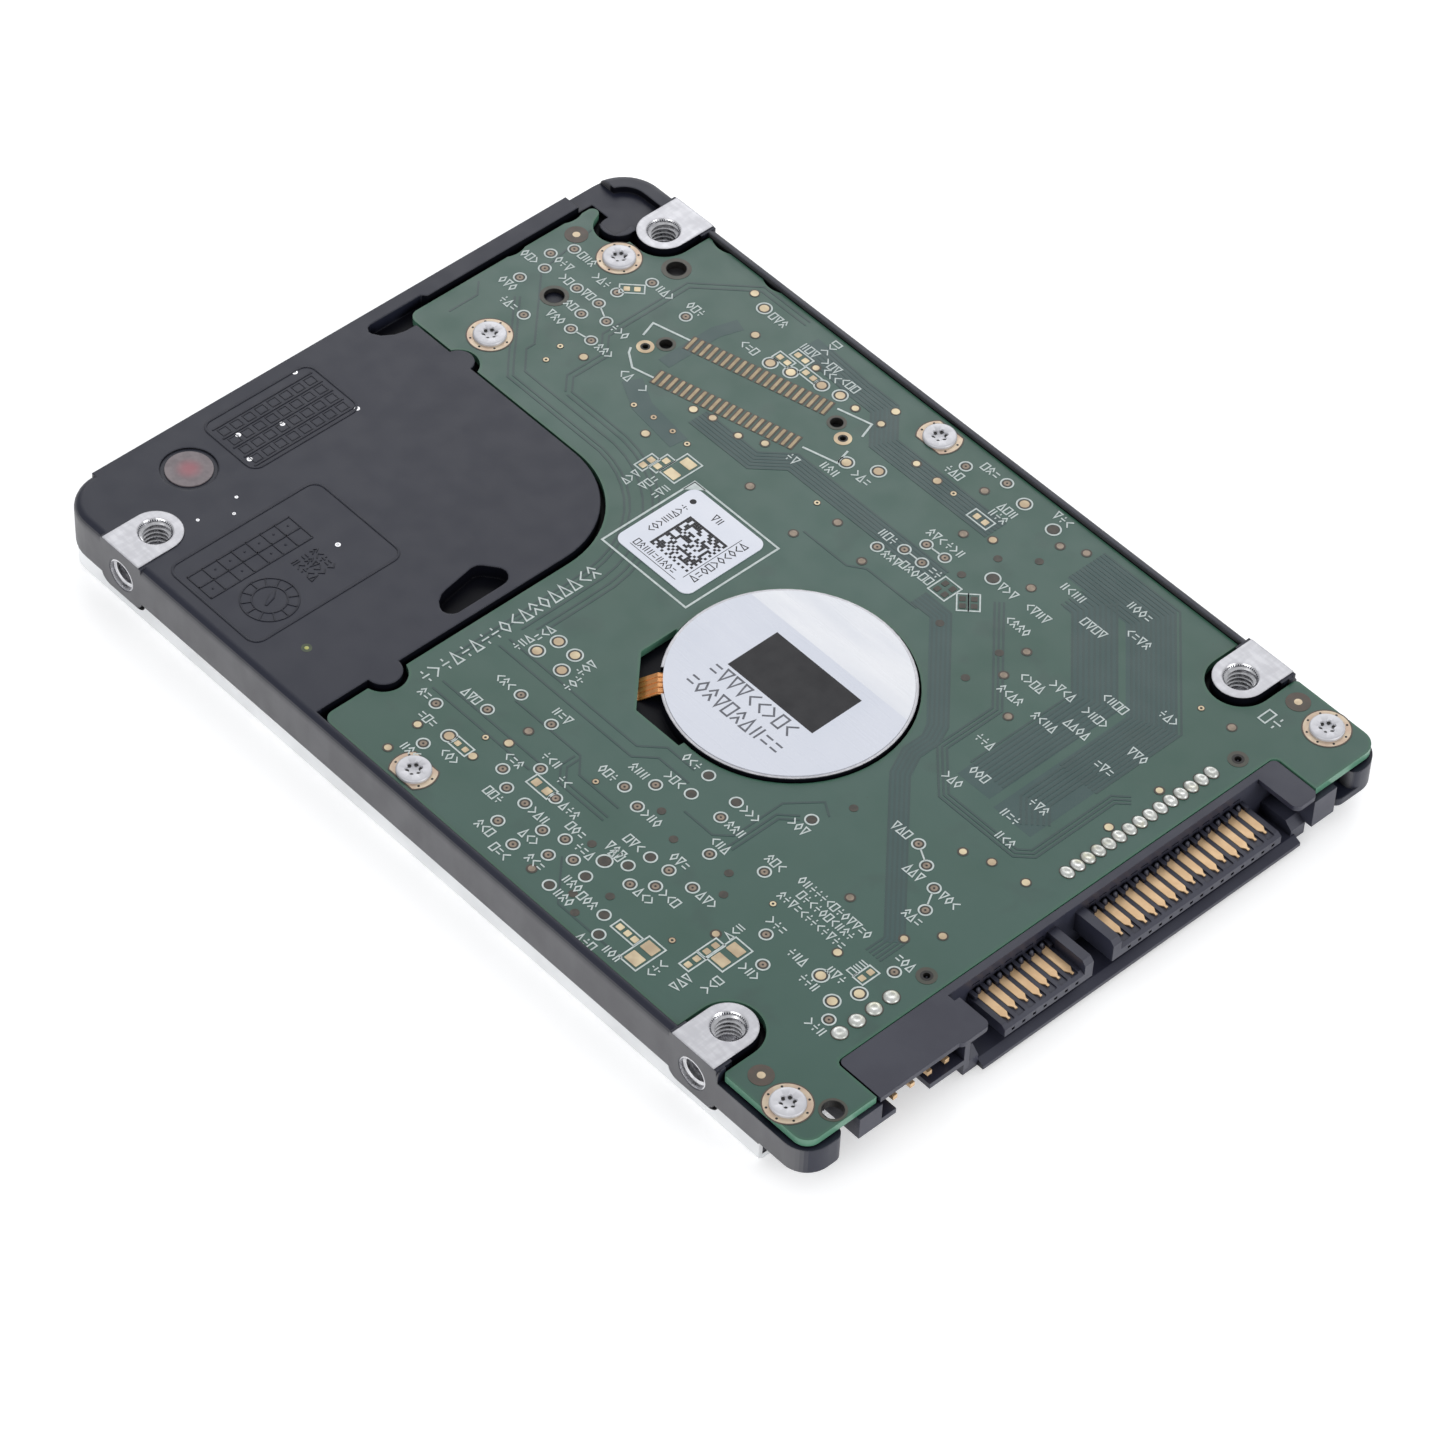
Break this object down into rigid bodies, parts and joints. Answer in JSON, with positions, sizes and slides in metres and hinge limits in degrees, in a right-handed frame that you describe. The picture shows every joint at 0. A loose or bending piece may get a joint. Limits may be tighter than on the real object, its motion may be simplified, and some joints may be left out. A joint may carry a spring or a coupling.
{
  "type": "hard disk drive",
  "caption": "Slim 2.5-inch hard disk drive, cast base with circuit board, SATA connector, threaded mounting holes, spindle motor, disk and parked actuator under a screwed cover.",
  "frame": {"origin": "middle of the drive's footprint, on the plane of the top cover's outer face, which the drive lies on", "axes": "+X along the length towards the SATA connector, +Y across the width, +Z from the cover up to the circuit-board side"},
  "size_m": [0.1002, 0.0698, 0.007],
  "materials": {
    "black_casting": "satin black electrocoat",
    "cover_sheet": "brushed",
    "seal_rubber": "matte",
    "stop_rubber": "matte",
    "screw_steel": "zinc plated",
    "label_film": "printed film",
    "sticker_film": "printed film",
    "motor_label_foil": "metallised film",
    "board_laminate": "green solder mask",
    "insulator_film": "matte film",
    "chip_epoxy": "moulded epoxy",
    "passive_parts": "ceramic",
    "connector_plastic": "moulded",
    "contact_gold": "gold plated",
    "sleeve_bronze": "turned",
    "turned_steel": "ground",
    "lamination": "stamped",
    "copper_wire": "enamelled copper",
    "flex_film": "polyimide and copper",
    "yoke_nickel": "nickel plated",
    "magnet_nickel": "nickel plated",
    "bonded_magnet": "bonded magnet",
    "ramp_plastic": "moulded",
    "bracket_plastic": "moulded",
    "filter_fabric": "filter cloth",
    "carbon_filter": "carbon filter",
    "seal_foil": "membrane patch",
    "hub_aluminium": "turned",
    "disk_coating": "polished",
    "spring_steel": "rolled",
    "slider_ceramic": "ceramic"
  },
  "bodies": {
    "case": {"base_casting": "black_casting", "top_cover": "cover_sheet", "cover_gasket": "seal_rubber", "cover_screws": "screw_steel", "cover_label": "label_film", "circuit_board": "board_laminate", "board_screws": "screw_steel", "insulator_sheet": "insulator_film", "controller_chip": "chip_epoxy", "memory_chip": "chip_epoxy", "motor_driver_chip": "chip_epoxy", "flash_chip": "chip_epoxy", "small_components": "passive_parts", "sata_housing": "connector_plastic", "sata_contacts": "contact_gold", "jumper_pins": "contact_gold", "motor_label": "motor_label_foil", "spindle_sleeve": "sleeve_bronze", "thrust_plate": "turned_steel", "stator_core": "lamination", "stator_coils": "copper_wire", "motor_leads": "flex_film", "pivot_shaft": "turned_steel", "pivot_balls": "turned_steel", "board_side_yoke": "yoke_nickel", "board_side_magnets": "magnet_nickel", "cover_side_yoke": "yoke_nickel", "cover_side_magnets": "magnet_nickel", "yoke_spacers": "turned_steel", "yoke_screws": "screw_steel", "parking_ramp": "ramp_plastic", "ramp_screw": "screw_steel", "inner_crash_stop": "stop_rubber", "outer_crash_stop": "stop_rubber", "flex_bracket": "bracket_plastic", "flex_cable": "flex_film", "bracket_screw": "screw_steel", "interconnect_header": "connector_plastic", "recirculation_filter": "filter_fabric", "breather_filter": "carbon_filter", "breather_seal": "seal_foil", "latch_pin": "turned_steel", "board_sticker": "sticker_film"},
    "spindle": {"hub": "hub_aluminium", "spindle_shaft": "turned_steel", "rotor_magnet": "bonded_magnet", "back_iron": "turned_steel", "disk_platter": "disk_coating", "disk_clamp": "hub_aluminium", "clamp_screws": "screw_steel"},
    "actuator": {"actuator_arm": "hub_aluminium", "pivot_sleeve": "turned_steel", "voice_coil": "copper_wire", "coil_overmould": "bracket_plastic", "suspensions": "spring_steel", "read_heads": "slider_ceramic", "preamp_chip": "chip_epoxy"},
    "latch": {"latch_lever": "ramp_plastic"}
  },
  "joints": [
    {"name": "spindle_spin", "type": "hinge", "parent": "case", "child": "spindle", "pos_m": [0.01035, 0, 0.0035], "axis": [0, 0, 1], "continuous": true},
    {"name": "actuator_swing", "type": "hinge", "parent": "case", "child": "actuator", "pos_m": [-0.0285, -0.013, 0.0033], "axis": [0, 0, 1], "range_deg": [-34, 0], "deforming": ["flex_cable"]},
    {"name": "latch_swing", "type": "hinge", "parent": "case", "child": "latch", "pos_m": [-0.0205, -0.0288, 0.0034], "axis": [0, 0, 1], "range_deg": [-7, 0]}
  ]
}
